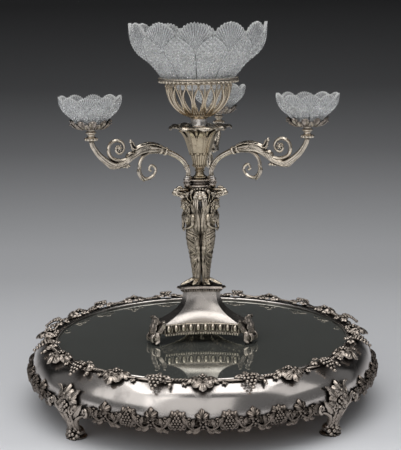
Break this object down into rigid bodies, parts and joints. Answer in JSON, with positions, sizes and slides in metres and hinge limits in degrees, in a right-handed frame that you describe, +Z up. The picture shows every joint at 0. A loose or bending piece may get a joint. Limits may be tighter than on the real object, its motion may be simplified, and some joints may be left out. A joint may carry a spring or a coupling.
{
  "type": "epergne",
  "caption": "Silver-plated table epergne on a round mirror plateau, with draped figures, an openwork basket, scroll branches and cut-glass bowls that lift out.",
  "frame": {"origin": "on the table under the middle of the round plateau", "axes": "+Z up, -Y towards the viewer, +X to the viewer's right"},
  "size_m": [0.6018, 0.6018, 0.6452],
  "materials": {
    "silver": "polished silver plate, worn soft",
    "cast_silver": "cast silver plate with dark oxide in the hollows",
    "cut_glass": "clear cut glass",
    "mirror": "old mirror glass, slightly grey",
    "board": "plain oak",
    "steel": "plain steel"
  },
  "bodies": {
    "plateau": {"plateau_skirt": "silver", "base_board": "board", "board_screws": "steel", "mirror_plate": "mirror", "mirror_bezel": "silver", "foot_nuts": "steel", "vine_border_right_back": "cast_silver", "vine_border_left_back": "cast_silver", "vine_border_left_front": "cast_silver", "vine_border_right_front": "cast_silver", "foliage_border_right_back": "cast_silver", "foliage_border_left_back": "cast_silver", "foliage_border_left_front": "cast_silver", "foliage_border_right_front": "cast_silver", "plateau_foot_right_back": "cast_silver", "plateau_foot_left_back": "cast_silver", "plateau_foot_left_front": "cast_silver", "plateau_foot_right_front": "cast_silver"},
    "stand": {"pedestal_shell": "silver", "pedestal_ovolo": "silver", "cornice_plate": "silver", "paw_foot_back": "cast_silver", "paw_foot_left": "cast_silver", "paw_foot_right": "cast_silver", "figure_back": "cast_silver", "figure_left": "cast_silver", "figure_right": "cast_silver", "capital": "cast_silver", "branch_collar": "silver", "tie_rod": "steel", "rod_nut": "steel", "stem_spool": "silver", "calyx_body": "silver", "calyx_leaves": "cast_silver"},
    "basket": {"basket_neck": "silver", "basket_lattice": "silver", "basket_rim": "silver"},
    "centre_bowl": {"centre_bowl": "cut_glass"},
    "sleeve_back": {"socket_sleeve_back": "silver"},
    "arm_back": {"branch_spigot_back": "silver", "branch_back": "silver", "nozzle_back": "silver"},
    "holder_back": {"dish_holder_back": "silver"},
    "dish_back": {"dish_back": "cut_glass"},
    "sleeve_left": {"socket_sleeve_left": "silver"},
    "arm_left": {"branch_spigot_left": "silver", "branch_left": "silver", "nozzle_left": "silver"},
    "holder_left": {"dish_holder_left": "silver"},
    "dish_left": {"dish_left": "cut_glass"},
    "sleeve_right": {"socket_sleeve_right": "silver"},
    "arm_right": {"branch_spigot_right": "silver", "branch_right": "silver", "nozzle_right": "silver"},
    "holder_right": {"dish_holder_right": "silver"},
    "dish_right": {"dish_right": "cut_glass"}
  },
  "joints": [
    {"name": "stand_lift", "type": "slide", "parent": "plateau", "child": "stand", "axis": [0, 0, 1], "range_m": [0, 0.12]},
    {"name": "basket_lift", "type": "slide", "parent": "stand", "child": "basket", "axis": [0, 0, 1], "range_m": [0, 0.1]},
    {"name": "centre_bowl_lift", "type": "slide", "parent": "basket", "child": "centre_bowl", "axis": [0, 0, 1], "range_m": [0, 0.12]},
    {"name": "branch_turn_back", "type": "hinge", "parent": "stand", "child": "sleeve_back", "pos_m": [0, 0.023, 0.384], "axis": [0, 0, 1], "range_deg": [-13, 37]},
    {"name": "branch_lift_back", "type": "slide", "parent": "sleeve_back", "child": "arm_back", "axis": [0, 0, 1], "range_m": [0, 0.03]},
    {"name": "holder_lift_back", "type": "slide", "parent": "arm_back", "child": "holder_back", "axis": [0, 0, 1], "range_m": [0, 0.03]},
    {"name": "dish_lift_back", "type": "slide", "parent": "holder_back", "child": "dish_back", "axis": [0, 0, 1], "range_m": [0, 0.06]},
    {"name": "branch_turn_left", "type": "hinge", "parent": "stand", "child": "sleeve_left", "pos_m": [-0.01992, -0.0115, 0.384], "axis": [0, 0, 1], "range_deg": [-25, 25]},
    {"name": "branch_lift_left", "type": "slide", "parent": "sleeve_left", "child": "arm_left", "axis": [0, 0, 1], "range_m": [0, 0.03]},
    {"name": "holder_lift_left", "type": "slide", "parent": "arm_left", "child": "holder_left", "axis": [0, 0, 1], "range_m": [0, 0.03]},
    {"name": "dish_lift_left", "type": "slide", "parent": "holder_left", "child": "dish_left", "axis": [0, 0, 1], "range_m": [0, 0.06]},
    {"name": "branch_turn_right", "type": "hinge", "parent": "stand", "child": "sleeve_right", "pos_m": [0.01992, -0.0115, 0.384], "axis": [0, 0, 1], "range_deg": [-25, 25]},
    {"name": "branch_lift_right", "type": "slide", "parent": "sleeve_right", "child": "arm_right", "axis": [0, 0, 1], "range_m": [0, 0.03]},
    {"name": "holder_lift_right", "type": "slide", "parent": "arm_right", "child": "holder_right", "axis": [0, 0, 1], "range_m": [0, 0.03]},
    {"name": "dish_lift_right", "type": "slide", "parent": "holder_right", "child": "dish_right", "axis": [0, 0, 1], "range_m": [0, 0.06]}
  ]
}
